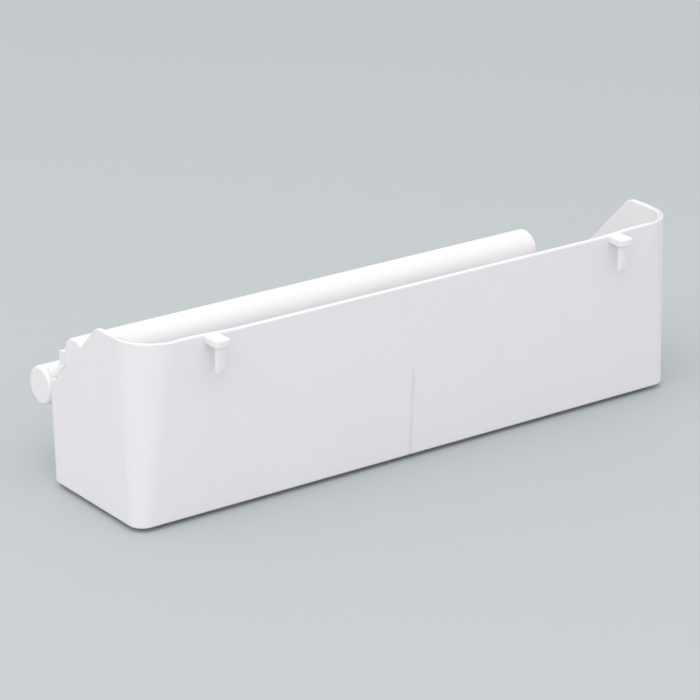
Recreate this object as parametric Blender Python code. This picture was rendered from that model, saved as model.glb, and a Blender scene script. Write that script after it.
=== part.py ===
"""Counting tray: a long moulded trough with hook tabs on the front rim and two free rollers on the rear wall.

Metres, +X along the trough, +Y to the rear, +Z up. The origin is at the middle of the object's bounding box
in X and Y, on the surface that the feet stand on.
"""

import math

import bmesh
import bpy
from mathutils import Matrix, Vector

# trough
TROUGH_LENGTH = 0.230
BASE_DEPTH = 0.0539
FRONT_HEIGHT = 0.0650
REAR_HEIGHT = 0.0370
WALL = 0.0019
FLOOR = 0.0028
FRONT_LEAN = 0.0035  # how far the front wall leans out over its height
REAR_LEAN = 0.0012  # the same for the rear wall
END_LEAN = 0.0003
FRONT_CORNER_RADIUS = 0.0145  # at the top of the front wall
FRONT_CORNER_FOOT = 0.0055  # the same corner at the underside
REAR_CORNER_RADIUS = 0.0040
BASE_FILLET = 0.0008
FLOOR_FILLET = 0.0025
RIM_ROUND = 0.0007
RIM_DIP = 0.0008  # the front rim is this much lower between the hook tabs
PEAK_LEVEL_DEPTH = 0.0264  # level stretch of an end wall's top, from the front
SLOPE_EASE_BACK = 0.0126  # the slope eases this far in front of the rear rim
SLOPE_EASE_RISE = 0.0080  # and this much above it
SLOPE_END_BACK = 0.0031  # where the slope ends, in front of the rear rim

# hook tabs
HOOK_SPACING = 0.171
HOOK_MIDDLE = -0.0010
HOOK_WIDTH = 0.0058
HOOK_REACH = 0.0070
HOOK_DROP = 0.0119
HOOK_THICK = 0.0026
HOOK_LEG = 0.0031
HOOK_LEG_WIDTH = 0.0040
HOOK_SETBACK = 0.0003  # the leg is this far behind the arm's tip
HOOK_EDGE = 0.0005

# rollers
ROLLER_RADIUS = 0.0069
ROLLER_LENGTH = 0.1926
ROLLER_END_GAP = 0.0030  # from the trough's left end to the rollers' left ends
TUBE_WALL = 0.0014
PLUG_FLANGE = 0.0022
PLUG_SPIGOT = 0.0080
PLUG_EDGE = 0.0012
UPPER_INSET = 0.0137  # upper roller's axis, in front of the rear wall's outer face at its rim
UPPER_RISE = 0.0107  # and above the rim
LOWER_OUTSET = 0.0101  # lower roller's axis, behind the rear wall's outer face at its rim
LOWER_FALL = 0.0067  # and below the rim

# roller brackets
BRACKET_END_GAP = 0.0050  # from a roller's end to the bracket's arm
BRACKET_ARM = 0.0060  # the arm alone, before the legs start
BRACKET_WIDTH = 0.0140  # the stretch with the legs
SADDLE_WALL = 0.0020
LEG_THICK = 0.0025
LIP_DEPTH = 0.0060  # how far the lip reaches down inside the rear wall
ARM_THICK = 0.0055

# fasteners
SCREW_FALL = 0.0230  # the screws are this far below the rear rim
SCREW_SPACING = 0.0080
SCREW_SHANK = 0.0010
SCREW_THREAD_LENGTH = 0.0055
SCREW_HEAD = 0.0023
SCREW_HEAD_THICK = 0.0017
WASHER_RADIUS = 0.0028
WASHER_THICK = 0.0005
BOSS_RADIUS = 0.0030
BOSS_HEIGHT = 0.0035
BOSS_HOLE_DEPTH = 0.0022
FLANGE_BELOW = 0.0050  # how far a bracket's flange reaches below its screws

# divider
DIVIDER_X = -0.0025
DIVIDER_THICK = 0.0016
DIVIDER_HEIGHT = 0.0335
DIVIDER_NOTCH_WIDTH = 0.0160
DIVIDER_NOTCH_DEPTH = 0.0040
GUIDE_WIDTH = 0.0015
GUIDE_PROUD = 0.0020

# feet
FOOT_RADIUS = 0.0050
FOOT_PROUD = 0.0015
FOOT_SUNK = 0.0010
FOOT_INSET_X = 0.0190
FOOT_INSET_Y = 0.0130

# clearances
GAP = 0.0003  # between neighbouring pieces
RUNNING_GAP = 0.0003  # round a turning roller

WHITE = (0.86, 0.85, 0.86, 1.0)
RUBBER = (0.24, 0.25, 0.26, 1.0)
STEEL = (0.62, 0.62, 0.63, 1.0)


def front_y(z):
    """Outer face of the front wall at a height."""
    return -BASE_DEPTH / 2 - FRONT_LEAN * z / FRONT_HEIGHT


def rear_y(z):
    """Outer face of the rear wall at a height."""
    return BASE_DEPTH / 2 + REAR_LEAN * z / REAR_HEIGHT


def end_x(z):
    """Outer face of the right end wall at a height."""
    return TROUGH_LENGTH / 2 - END_LEAN * (1 - z / FRONT_HEIGHT)


RIM_FRONT = front_y(FRONT_HEIGHT)
RIM_REAR = rear_y(REAR_HEIGHT)
SCREW_HEIGHT = REAR_HEIGHT - SCREW_FALL
FLANGE_BOTTOM = SCREW_HEIGHT - FLANGE_BELOW
UPPER_AXIS = (RIM_REAR - UPPER_INSET, REAR_HEIGHT + UPPER_RISE)
LOWER_AXIS = (RIM_REAR + LOWER_OUTSET, REAR_HEIGHT - LOWER_FALL)
ROLLER_LEFT = -TROUGH_LENGTH / 2 + ROLLER_END_GAP
ROLLER_RIGHT = ROLLER_LEFT + ROLLER_LENGTH
SADDLE_INNER = ROLLER_RADIUS + RUNNING_GAP
SADDLE_OUTER = SADDLE_INNER + SADDLE_WALL
BOSS_FACE = rear_y(SCREW_HEIGHT) + BOSS_HEIGHT
FLANGE_IN = BOSS_FACE + GAP
FLANGE_OUT = FLANGE_IN + LEG_THICK

# the frame's origin is the middle of the bounding box, at the feet's underside
FRONT_MOST = RIM_FRONT - HOOK_REACH
REAR_MOST = LOWER_AXIS[0] + ROLLER_RADIUS
FRAME_SHIFT = Vector((0, -(FRONT_MOST + REAR_MOST) / 2, FOOT_PROUD))


def material(name, colour, roughness, metallic=0.0):
    made = bpy.data.materials.new(name)
    made.use_nodes = True
    shader = made.node_tree.nodes["Principled BSDF"]
    shader.inputs["Base Color"].default_value = colour
    shader.inputs["Roughness"].default_value = roughness
    shader.inputs["Metallic"].default_value = metallic
    made.diffuse_color = colour
    return made


def new_object(name, mesh, finish=None):
    obj = bpy.data.objects.new(name, mesh)
    bpy.context.scene.collection.objects.link(obj)
    obj.parent = frame
    if finish is not None:
        mesh.materials.append(finish)
    return obj


def shade(obj, angle=35):
    obj.data.shade_smooth()
    obj.data.set_sharp_from_angle(angle=math.radians(angle))


def tool(obj):
    """A shape that only cuts or joins another: the build leaves it out."""
    obj.hide_render = True
    obj.display_type = "WIRE"
    return obj


def boolean(obj, other, operation):
    step = obj.modifiers.new(other.name, "BOOLEAN")
    step.operation = operation
    step.solver = "EXACT"
    step.object = other


def bevel(obj, width, segments=2, angle=40):
    step = obj.modifiers.new("edges", "BEVEL")
    step.width = width
    step.segments = segments
    step.limit_method = "ANGLE"
    step.angle_limit = math.radians(angle)


def arc(centre, radius, start, end, steps):
    """Points in the Y-Z plane; angles in degrees from +Y towards +Z."""
    points = []
    for i in range(steps + 1):
        angle = math.radians(start + (end - start) * i / steps)
        points.append((centre[0] + radius * math.cos(angle), centre[1] + radius * math.sin(angle)))
    return points


def prism(name, outline, left, right, finish=None):
    """A Y-Z outline extruded from left to right along X."""
    bm = bmesh.new()
    near = bm.faces.new([bm.verts.new((left, y, z)) for y, z in outline])
    grown = bmesh.ops.extrude_face_region(bm, geom=[near])
    moved = [v for v in grown["geom"] if isinstance(v, bmesh.types.BMVert)]
    bmesh.ops.translate(bm, verts=moved, vec=(right - left, 0, 0))
    bmesh.ops.recalc_face_normals(bm, faces=bm.faces)
    mesh = bpy.data.meshes.new(name)
    bm.to_mesh(mesh)
    bm.free()
    return new_object(name, mesh, finish)


def turned(name, profile, axis_point, axis, finish=None, steps=48):
    """A closed (radius, distance) profile turned about an axis. Points on the axis close the ends."""
    bm = bmesh.new()
    rings = []
    for radius, along in profile:
        if radius < 1e-9:
            rings.append([bm.verts.new((0, 0, along))])
            continue
        ring = []
        for i in range(steps):
            angle = 2 * math.pi * i / steps
            ring.append(bm.verts.new((radius * math.cos(angle), radius * math.sin(angle), along)))
        rings.append(ring)
    closed = profile[0][0] > 1e-9
    pairs = list(zip(rings, rings[1:]))
    if closed:
        pairs.append((rings[-1], rings[0]))
    for low, high in pairs:
        for i in range(steps):
            j = (i + 1) % steps
            corners = []
            for vert in (low[i % len(low)], low[j % len(low)], high[j % len(high)], high[i % len(high)]):
                if vert not in corners:
                    corners.append(vert)
            bm.faces.new(corners)
    bmesh.ops.recalc_face_normals(bm, faces=bm.faces)
    turn = Vector((0, 0, 1)).rotation_difference(Vector(axis)).to_matrix().to_4x4()
    bmesh.ops.transform(bm, matrix=Matrix.Translation(axis_point) @ turn, verts=bm.verts)
    mesh = bpy.data.meshes.new(name)
    bm.to_mesh(mesh)
    bm.free()
    return new_object(name, mesh, finish)


def smoothstep(value, low, high):
    t = min(1.0, max(0.0, (value - low) / (high - low)))
    return t * t * (3 - 2 * t)


def end_wall_top(y):
    """Height of an end wall's top at a depth: level in front, then sloping down to the rear wall."""
    depth = y - RIM_FRONT
    rear_rim = RIM_REAR - RIM_FRONT
    middle_depth = rear_rim - SLOPE_EASE_BACK
    middle_height = REAR_HEIGHT + SLOPE_EASE_RISE
    end_depth = rear_rim - SLOPE_END_BACK
    if depth <= PEAK_LEVEL_DEPTH:
        return FRONT_HEIGHT
    if depth <= middle_depth:
        share = (depth - PEAK_LEVEL_DEPTH) / (middle_depth - PEAK_LEVEL_DEPTH)
        return FRONT_HEIGHT + (middle_height - FRONT_HEIGHT) * share
    if depth <= end_depth:
        share = (depth - middle_depth) / (end_depth - middle_depth)
        return middle_height + (REAR_HEIGHT - middle_height) * share
    return REAR_HEIGHT


def rim_height(x, y):
    """Height of the rim over a point of the trough's outline."""
    blend = 0.0022  # rounds the peak and the foot of the slope
    steps = 5
    tops = [end_wall_top(y + blend * (2 * i / (steps - 1) - 1)) for i in range(steps)]
    slope = sum(tops) / steps
    dip_start = HOOK_SPACING / 2 - 0.010
    dip = RIM_DIP * (1 - smoothstep(abs(x), dip_start, dip_start + 0.020))
    return min(slope, FRONT_HEIGHT - dip)


def outline_stations():
    """The trough's outline, counter-clockwise from above, as (side, share) stations."""
    stations = []
    for i in range(15):
        stations.append(("front", i / 14))
    for i in range(1, 10):
        stations.append(("front_right", i / 9))
    for i in range(1, 17):
        stations.append(("right", i / 16))
    for i in range(1, 5):
        stations.append(("rear_right", i / 4))
    for i in range(1, 9):
        stations.append(("rear", i / 8))
    for i in range(1, 5):
        stations.append(("rear_left", i / 4))
    for i in range(1, 17):
        stations.append(("left", i / 16))
    for i in range(1, 9):
        stations.append(("front_left", i / 9))
    return stations


def front_radius(z):
    """Outer radius of the front corners at a height."""
    return FRONT_CORNER_FOOT + (FRONT_CORNER_RADIUS - FRONT_CORNER_FOOT) * z / FRONT_HEIGHT


def station_point(station, z, inset):
    """Where a station is at a height, moved in by inset."""
    side, share = station
    x = end_x(z) - inset
    front = front_y(z) + inset
    rear = rear_y(z) - inset
    big = max(front_radius(z) - inset, 0.0005)
    small = max(REAR_CORNER_RADIUS - inset, 0.0005)
    quarter = math.pi / 2 * share
    if side == "front":
        return (-x + big + (2 * x - 2 * big) * share, front)
    if side == "front_right":
        return (x - big + big * math.sin(quarter), front + big - big * math.cos(quarter))
    if side == "right":
        return (x, front + big + (rear - small - front - big) * share)
    if side == "rear_right":
        return (x - small + small * math.cos(quarter), rear - small + small * math.sin(quarter))
    if side == "rear":
        return (x - small - (2 * x - 2 * small) * share, rear)
    if side == "rear_left":
        return (-x + small - small * math.sin(quarter), rear - small + small * math.cos(quarter))
    if side == "left":
        return (-x, rear - small - (rear - small - front - big) * share)
    return (-x + big - big * math.cos(quarter), front + big - big * math.sin(quarter))


def trough_rows(rim):
    """(height, inset) pairs from the underside, up the outside, over the rim and down to the floor."""
    rows = []
    for i in range(4):
        angle = math.pi / 2 * i / 3
        rows.append((BASE_FILLET * (1 - math.cos(angle)), BASE_FILLET * (1 - math.sin(angle))))
    rows.append((rim * 0.5, 0))
    corner = RIM_ROUND * (1 - math.sqrt(0.5))
    rows.append((rim - RIM_ROUND, 0))
    rows.append((rim - corner, corner))
    rows.append((rim, RIM_ROUND))
    rows.append((rim, WALL - RIM_ROUND))
    rows.append((rim - corner, WALL - corner))
    rows.append((rim - RIM_ROUND, WALL))
    rows.append((rim * 0.5, WALL))
    for i in range(4):
        angle = math.pi / 2 * i / 3
        height = FLOOR + FLOOR_FILLET * (1 - math.sin(angle))
        rows.append((height, WALL + FLOOR_FILLET * (1 - math.cos(angle))))
    return rows


def trough_body():
    bm = bmesh.new()
    columns = []
    for station in outline_stations():
        x, y = station_point(station, FRONT_HEIGHT, 0)
        column = []
        for z, inset in trough_rows(rim_height(x, y)):
            px, py = station_point(station, z, inset)
            column.append(bm.verts.new((px, py, z)))
        columns.append(column)
    count = len(columns)
    for i in range(count):
        a, b = columns[i], columns[(i + 1) % count]
        for j in range(len(a) - 1):
            bm.faces.new((a[j], b[j], b[j + 1], a[j + 1]))
    bm.faces.new([column[0] for column in reversed(columns)])
    bm.faces.new([column[-1] for column in columns])
    bmesh.ops.recalc_face_normals(bm, faces=bm.faces)
    mesh = bpy.data.meshes.new("trough_shell")
    bm.to_mesh(mesh)
    bm.free()
    return new_object("trough_shell", mesh, white)


def hook_arm(x, number):
    """The part of a hook tab that stands out of the rim."""
    top = FRONT_HEIGHT - RIM_DIP
    root = front_y(top) + WALL / 2
    tip = RIM_FRONT - HOOK_REACH
    outline = [(root, top), (tip, top), (tip, top - HOOK_THICK), (root, top - HOOK_THICK)]
    arm = prism(f"hook_arm_{number}", outline, x - HOOK_WIDTH / 2, x + HOOK_WIDTH / 2)
    bevel(arm, HOOK_EDGE)
    return tool(arm)


def hook_leg(x, number):
    """The narrower leg that hangs from the arm, with a gap to the front wall."""
    top = FRONT_HEIGHT - RIM_DIP - HOOK_THICK / 2
    bottom = FRONT_HEIGHT - RIM_DIP - HOOK_DROP
    front = RIM_FRONT - HOOK_REACH + HOOK_SETBACK
    back = front + HOOK_LEG
    slant = HOOK_LEG * 0.35
    outline = [(back, top), (front, top), (front, bottom + slant), (front + slant, bottom), (back, bottom)]
    leg = prism(f"hook_leg_{number}", outline, x - HOOK_LEG_WIDTH / 2, x + HOOK_LEG_WIDTH / 2)
    bevel(leg, HOOK_EDGE)
    return tool(leg)


def guide_rib(x, number):
    """A U-shaped rib on the front wall, floor and rear wall, beside the divider."""
    sunk = WALL / 2
    low = FLOOR - sunk
    high = DIVIDER_HEIGHT - GAP
    outline = [
        (front_y(high) + WALL - sunk, high),
        (front_y(low) + WALL - sunk, low),
        (rear_y(low) - WALL + sunk, low),
        (rear_y(high) - WALL + sunk, high),
        (rear_y(high) - WALL - GUIDE_PROUD, high),
        (rear_y(FLOOR) - WALL - GUIDE_PROUD, FLOOR + GUIDE_PROUD),
        (front_y(FLOOR) + WALL + GUIDE_PROUD, FLOOR + GUIDE_PROUD),
        (front_y(high) + WALL + GUIDE_PROUD, high),
    ]
    return tool(prism(f"guide_rib_{number}", outline, x - GUIDE_WIDTH / 2, x + GUIDE_WIDTH / 2))


def screw_boss(x, number):
    """A round boss on the rear wall with a blind hole for a bracket screw."""
    root = rear_y(SCREW_HEIGHT) - WALL / 2
    face = BOSS_FACE - root
    hole = SCREW_SHANK + GAP
    bottom = face - BOSS_HOLE_DEPTH
    profile = [(0, 0), (BOSS_RADIUS, 0), (BOSS_RADIUS, face), (hole, face), (hole, bottom), (0, bottom)]
    return tool(turned(f"boss_{number}", profile, (x, root, SCREW_HEIGHT), (0, 1, 0), steps=24))


def build_trough():
    trough = trough_body()
    for number, side in enumerate((-1, 1)):
        hook_x = HOOK_MIDDLE + side * HOOK_SPACING / 2
        boolean(trough, hook_arm(hook_x, number), "UNION")
        boolean(trough, hook_leg(hook_x, number), "UNION")
        offset = DIVIDER_THICK / 2 + GAP + GUIDE_WIDTH / 2
        boolean(trough, guide_rib(DIVIDER_X + side * offset, number), "UNION")
    for number, x in enumerate(screw_places()):
        boolean(trough, screw_boss(x, number), "UNION")
    pocket = FOOT_RADIUS + GAP
    for number, (x, y) in enumerate(foot_places()):
        depth = FOOT_SUNK + GAP
        profile = [(0, -0.001), (pocket, -0.001), (pocket, depth), (0, depth)]
        hole = turned(f"foot_pocket_{number}", profile, (x, y, 0), (0, 0, 1), steps=32)
        boolean(trough, tool(hole), "DIFFERENCE")
    shade(trough)
    return trough


def bracket_outline():
    """The whole profile: upper saddle, arm over the rim, lip inside, legs outside and lower saddle."""
    lip_in = rear_y(REAR_HEIGHT) - WALL - GAP
    rest = REAR_HEIGHT + GAP
    lip_bottom = REAR_HEIGHT - LIP_DEPTH
    lip_slant = rear_y(lip_bottom) - rear_y(REAR_HEIGHT)
    step = SCREW_HEIGHT + BOSS_RADIUS + 0.0025
    points = arc(UPPER_AXIS, SADDLE_INNER, 25, -170, 26)
    points += arc(UPPER_AXIS, SADDLE_OUTER, -170, -52, 16)
    points += [
        (lip_in - LEG_THICK, rest + 0.0010),
        (lip_in - LEG_THICK + lip_slant, lip_bottom),
        (lip_in + lip_slant, lip_bottom),
        (lip_in, rest),
        (rear_y(REAR_HEIGHT) + GAP, rest),
        (rear_y(step) + GAP, step),
        (FLANGE_IN, step),
        (FLANGE_IN, FLANGE_BOTTOM),
        (FLANGE_OUT, FLANGE_BOTTOM),
    ]
    points += arc(LOWER_AXIS, SADDLE_OUTER, 240, 275, 5)
    points += arc(LOWER_AXIS, SADDLE_INNER, 275, 85, 26)
    points += arc(LOWER_AXIS, SADDLE_OUTER, 85, 122, 5)
    points += [arm_corner()]
    points += arc(UPPER_AXIS, SADDLE_OUTER, -8, 25, 5)
    return points


def arm_corner():
    """Upper rear corner of the arm, above the lower saddle."""
    foot = arc(LOWER_AXIS, SADDLE_OUTER, 122, 122, 1)[0]
    return (foot[0] - 0.0003, foot[1] + ARM_THICK)


def arm_cutter_outline():
    """What is cut from the arm's stretch: all that is below the arm or behind it."""
    foot = arc(LOWER_AXIS, SADDLE_OUTER, 122, 122, 1)[0]
    start = arc(UPPER_AXIS, SADDLE_OUTER, -46, -46, 1)[0]
    far = REAR_MOST + 0.010
    return [
        (start[0], FLANGE_BOTTOM - 0.005),
        (far, FLANGE_BOTTOM - 0.005),
        (far, FRONT_HEIGHT),
        (foot[0], FRONT_HEIGHT),
        (foot[0], foot[1]),
        (rear_y(REAR_HEIGHT), REAR_HEIGHT + 0.0026),
        start,
    ]


def build_bracket(name, end, inward):
    """end is the roller's end; inward is +1 at the left end and -1 at the right one."""
    first = end + inward * BRACKET_END_GAP
    legs = first + inward * BRACKET_ARM
    last = legs + inward * BRACKET_WIDTH
    bracket = prism(name, bracket_outline(), min(first, last), max(first, last), white)
    before = first - inward * 0.001
    cutter = prism(f"{name}_cut", arm_cutter_outline(), min(before, legs), max(before, legs))
    boolean(bracket, tool(cutter), "DIFFERENCE")
    hole = SCREW_SHANK + GAP
    for number, x in enumerate(bracket_screws(end, inward)):
        length = FLANGE_OUT - FLANGE_IN + 0.002
        profile = [(0, 0), (hole, 0), (hole, length), (0, length)]
        start = (x, FLANGE_IN - 0.001, SCREW_HEIGHT)
        drill = turned(f"{name}_hole_{number}", profile, start, (0, 1, 0), steps=16)
        boolean(bracket, tool(drill), "DIFFERENCE")
    shade(bracket)
    return bracket


def bracket_screws(end, inward):
    middle = end + inward * (BRACKET_END_GAP + BRACKET_ARM + BRACKET_WIDTH / 2)
    return (middle - SCREW_SPACING / 2, middle + SCREW_SPACING / 2)


def screw_places():
    return bracket_screws(ROLLER_LEFT, 1) + bracket_screws(ROLLER_RIGHT, -1)


def foot_places():
    x = TROUGH_LENGTH / 2 - FOOT_INSET_X
    y = BASE_DEPTH / 2 - FOOT_INSET_Y
    return ((-x, -y), (x, -y), (-x, y), (x, y))


def build_screws():
    names = ("left_outer", "left_inner", "right_inner", "right_outer")
    for name, x in zip(names, screw_places()):
        seat = FLANGE_OUT + GAP
        washer_profile = [
            (SCREW_SHANK + GAP, 0),
            (WASHER_RADIUS, 0),
            (WASHER_RADIUS, WASHER_THICK),
            (SCREW_SHANK + GAP, WASHER_THICK),
        ]
        place = (x, seat, SCREW_HEIGHT)
        washer = turned(f"{name}_washer", washer_profile, place, (0, 1, 0), steel, steps=24)
        shade(washer)
        tip = -SCREW_THREAD_LENGTH
        screw_profile = [
            (0, tip),
            (SCREW_SHANK * 0.4, tip),
            (SCREW_SHANK, tip + SCREW_SHANK),
            (SCREW_SHANK, 0),
            (SCREW_HEAD, 0),
            (SCREW_HEAD, SCREW_HEAD_THICK * 0.5),
            (SCREW_HEAD * 0.8, SCREW_HEAD_THICK * 0.9),
            (SCREW_HEAD * 0.5, SCREW_HEAD_THICK),
            (0, SCREW_HEAD_THICK),
        ]
        place = (x, seat + WASHER_THICK + GAP, SCREW_HEIGHT)
        screw = turned(f"{name}_screw", screw_profile, place, (0, 1, 0), steel, steps=20)
        shade(screw)


def build_roller(name, axis_point):
    """A tube with a smooth plug in each end, all turning about one X axis."""
    y, z = axis_point
    pivot = bpy.data.objects.new(f"{name}_axis", None)
    bpy.context.scene.collection.objects.link(pivot)
    pivot.parent = frame
    pivot.location = (0, y, z)
    start = ROLLER_LEFT + PLUG_FLANGE + GAP
    length = ROLLER_LENGTH - 2 * (PLUG_FLANGE + GAP)
    bore = ROLLER_RADIUS - TUBE_WALL
    tube_profile = [(bore, 0), (ROLLER_RADIUS, 0), (ROLLER_RADIUS, length), (bore, length)]
    pieces = [turned(f"{name}_tube", tube_profile, (start, 0, 0), (1, 0, 0), white)]
    spigot = bore - GAP
    plug_profile = [(0, 0), (ROLLER_RADIUS - PLUG_EDGE, 0)]
    for i in range(1, 6):
        angle = math.pi / 2 * i / 5
        radius = ROLLER_RADIUS - PLUG_EDGE * (1 - math.sin(angle))
        plug_profile.append((radius, PLUG_EDGE * (1 - math.cos(angle))))
    plug_profile += [
        (ROLLER_RADIUS, PLUG_FLANGE),
        (spigot, PLUG_FLANGE),
        (spigot, PLUG_FLANGE + PLUG_SPIGOT - 0.001),
        (spigot - 0.0006, PLUG_FLANGE + PLUG_SPIGOT),
        (0, PLUG_FLANGE + PLUG_SPIGOT),
    ]
    ends = (("left", ROLLER_LEFT, 1), ("right", ROLLER_RIGHT, -1))
    for side, x, inward in ends:
        pieces.append(turned(f"{name}_{side}_plug", plug_profile, (x, 0, 0), (inward, 0, 0), white))
    for piece in pieces:
        piece.parent = pivot
        shade(piece)


def build_divider():
    low = FLOOR + GAP
    bend = FLOOR + FLOOR_FILLET + GAP
    high = DIVIDER_HEIGHT
    notch = DIVIDER_NOTCH_WIDTH / 2
    outline = [
        (front_y(low) + WALL + GAP + FLOOR_FILLET, low),
        (rear_y(low) - WALL - GAP - FLOOR_FILLET, low),
        (rear_y(bend) - WALL - GAP, bend),
        (rear_y(high) - WALL - GAP, high),
        (notch + DIVIDER_NOTCH_DEPTH, high),
    ]
    for y, z in arc((0, 0), 1, 0, -180, 8):
        outline.append((notch * y, high - DIVIDER_NOTCH_DEPTH * (0.25 - 0.75 * z)))
    outline += [
        (-notch - DIVIDER_NOTCH_DEPTH, high),
        (front_y(high) + WALL + GAP, high),
        (front_y(bend) + WALL + GAP, bend),
    ]
    left = DIVIDER_X - DIVIDER_THICK / 2
    prism("divider_plate", outline, left, left + DIVIDER_THICK, white)


def build_feet():
    names = ("front_left", "front_right", "rear_left", "rear_right")
    edge = 0.0004
    for name, (x, y) in zip(names, foot_places()):
        profile = [
            (0, -FOOT_PROUD),
            (FOOT_RADIUS - edge, -FOOT_PROUD),
            (FOOT_RADIUS, -FOOT_PROUD + edge),
            (FOOT_RADIUS, FOOT_SUNK),
            (0, FOOT_SUNK),
        ]
        foot = turned(f"{name}_foot", profile, (x, y, 0), (0, 0, 1), rubber, steps=32)
        shade(foot)


for old in list(bpy.data.objects):
    bpy.data.objects.remove(old)

frame = bpy.data.objects.new("frame", None)
bpy.context.scene.collection.objects.link(frame)
frame.location = FRAME_SHIFT

white = material("white_plastic", WHITE, 0.38)
steel = material("zinc_steel", STEEL, 0.35, 1.0)
rubber = material("grey_rubber", RUBBER, 0.8)

build_trough()
build_divider()
build_bracket("left_roller_bracket", ROLLER_LEFT, 1)
build_bracket("right_roller_bracket", ROLLER_RIGHT, -1)
build_screws()
build_roller("upper_roller", UPPER_AXIS)
build_roller("lower_roller", LOWER_AXIS)
build_feet()
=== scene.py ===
import math

import bmesh
import bpy
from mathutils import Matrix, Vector


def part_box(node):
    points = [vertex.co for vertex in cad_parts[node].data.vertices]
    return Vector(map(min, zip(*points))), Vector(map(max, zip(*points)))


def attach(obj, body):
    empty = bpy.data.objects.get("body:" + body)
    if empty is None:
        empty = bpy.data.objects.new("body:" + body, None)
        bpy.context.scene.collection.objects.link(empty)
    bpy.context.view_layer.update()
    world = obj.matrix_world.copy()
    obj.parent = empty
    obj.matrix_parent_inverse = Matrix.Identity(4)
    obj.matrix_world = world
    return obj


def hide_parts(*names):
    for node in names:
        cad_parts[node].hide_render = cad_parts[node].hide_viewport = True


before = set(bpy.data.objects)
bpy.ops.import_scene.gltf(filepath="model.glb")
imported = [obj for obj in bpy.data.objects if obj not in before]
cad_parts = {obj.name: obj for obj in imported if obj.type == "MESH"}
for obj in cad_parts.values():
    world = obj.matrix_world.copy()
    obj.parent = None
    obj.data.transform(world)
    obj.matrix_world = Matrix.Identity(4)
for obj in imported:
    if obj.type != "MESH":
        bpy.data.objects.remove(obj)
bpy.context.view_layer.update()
print("frame loaded:", len(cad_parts), "nodes")

nearly = 1e-6  # metres; places closer than this count as the same
clearance = 0.0003  # between pieces that fit together
past = 0.001  # how far a cutter reaches beyond what it cuts


def deselectAll():
    for item in bpy.context.selected_objects:
        item.select_set(False)


def pickOnly(piece):
    deselectAll()
    piece.select_set(True)
    bpy.context.view_layer.objects.active = piece


def bake(piece):
    pickOnly(piece)
    bpy.ops.object.transform_apply(location=True, rotation=True, scale=True)
    return piece


def joinedName(name):
    # left_inner_screw becomes leftInnerScrew
    first, *others = name.split("_")
    return first + "".join(word.capitalize() for word in others)


def named(name):
    piece = bpy.context.active_object
    piece.name = name
    piece.data.name = name
    return piece


def middleOf(node):
    low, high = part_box(node)
    return (low + high) / 2


def addBlock(name, low, high):
    # a cube between two corners
    deselectAll()
    middle = [(a + b) / 2 for a, b in zip(low, high)]
    size = [b - a for a, b in zip(low, high)]
    bpy.ops.mesh.primitive_cube_add(size=1, location=middle, scale=size)
    return bake(named(name))


def addDisc(name, radius, start, end, sides=64):
    # a cylinder from one point to another
    deselectAll()
    start, end = Vector(start), Vector(end)
    turn = (end - start).to_track_quat("Z", "Y").to_euler()
    length = (end - start).length
    bpy.ops.mesh.primitive_cylinder_add(
        vertices=sides, radius=radius, depth=length, location=(start + end) / 2, rotation=turn
    )
    return bake(named(name))


def editFaces(piece, test):
    # leaves the piece in edit mode with the matching faces selected
    pickOnly(piece)
    bpy.ops.object.mode_set(mode="EDIT")
    bpy.ops.mesh.select_mode(type="FACE")
    bpy.ops.mesh.select_all(action="DESELECT")
    mesh = bmesh.from_edit_mesh(piece.data)
    for face in mesh.faces:
        if test(face.calc_center_median(), face.normal):
            face.select_set(True)
    bmesh.update_edit_mesh(piece.data)


def editEdges(piece, test):
    # the same for edges; the test gets both ends
    pickOnly(piece)
    bpy.ops.object.mode_set(mode="EDIT")
    bpy.ops.mesh.select_mode(type="EDGE")
    bpy.ops.mesh.select_all(action="DESELECT")
    mesh = bmesh.from_edit_mesh(piece.data)
    for edge in mesh.edges:
        if test(edge.verts[0].co, edge.verts[1].co):
            edge.select_set(True)
    bmesh.update_edit_mesh(piece.data)


def leaveEdit():
    bpy.ops.object.mode_set(mode="OBJECT")


def moveEdges(piece, test, by):
    editEdges(piece, test)
    bpy.ops.transform.translate(value=by)
    leaveEdit()


def roundEdges(piece, test, radius, segments):
    editEdges(piece, test)
    bpy.ops.mesh.bevel(offset=radius, segments=segments, profile=0.5, affect="EDGES")
    leaveEdit()


def pullFaces(piece, test, by):
    editFaces(piece, test)
    bpy.ops.mesh.extrude_region_move(TRANSFORM_OT_translate={"value": by})
    leaveEdit()


def combine(piece, other, operation):
    step = piece.modifiers.new(operation.lower(), "BOOLEAN")
    step.operation = operation
    step.solver = "EXACT"
    step.object = other
    pickOnly(piece)
    bpy.ops.object.modifier_apply(modifier=step.name)
    bpy.data.objects.remove(other)
    return piece


def cut(piece, tool):
    return combine(piece, tool, "DIFFERENCE")


def weld(piece, other):
    return combine(piece, other, "UNION")


def gather(parts):
    # several separate tools as one, so that one boolean does them all
    deselectAll()
    for part in parts:
        part.select_set(True)
    bpy.context.view_layer.objects.active = parts[0]
    bpy.ops.object.join()
    return bpy.context.active_object


def softenEdges(piece, width, segments=2):
    step = piece.modifiers.new("soft edges", "BEVEL")
    step.width = width
    step.segments = segments
    step.limit_method = "ANGLE"
    step.angle_limit = math.radians(40)
    step.miter_outer = "MITER_ARC"
    pickOnly(piece)
    bpy.ops.object.modifier_apply(modifier=step.name)


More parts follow.
